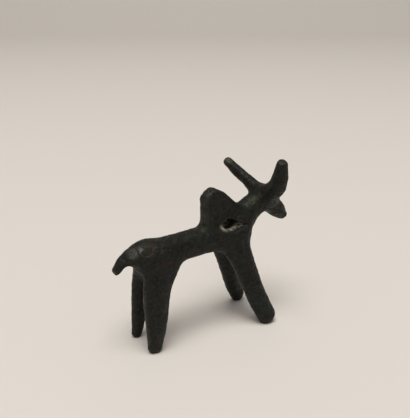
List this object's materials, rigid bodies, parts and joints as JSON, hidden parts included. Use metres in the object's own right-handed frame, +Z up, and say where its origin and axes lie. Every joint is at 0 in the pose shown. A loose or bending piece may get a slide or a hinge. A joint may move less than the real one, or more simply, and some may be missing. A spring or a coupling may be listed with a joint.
{
  "type": "bronze zebu figure",
  "caption": "Small cast bronze humped bull standing on splayed legs, with spread horns, a slab hump pierced for a cord, and a short curved tail.",
  "frame": {"origin": "on the ground, under the middle of the bounding box", "axes": "+X towards the head, +Y towards the animal's left side, +Z up"},
  "size_m": [0.0578, 0.0234, 0.0498],
  "materials": {
    "bronze": "dark, worn olive-brown patina on cast bronze, satin to dull"
  },
  "bodies": {
    "root": {"zebu_figure": "bronze"}
  },
  "joints": []
}
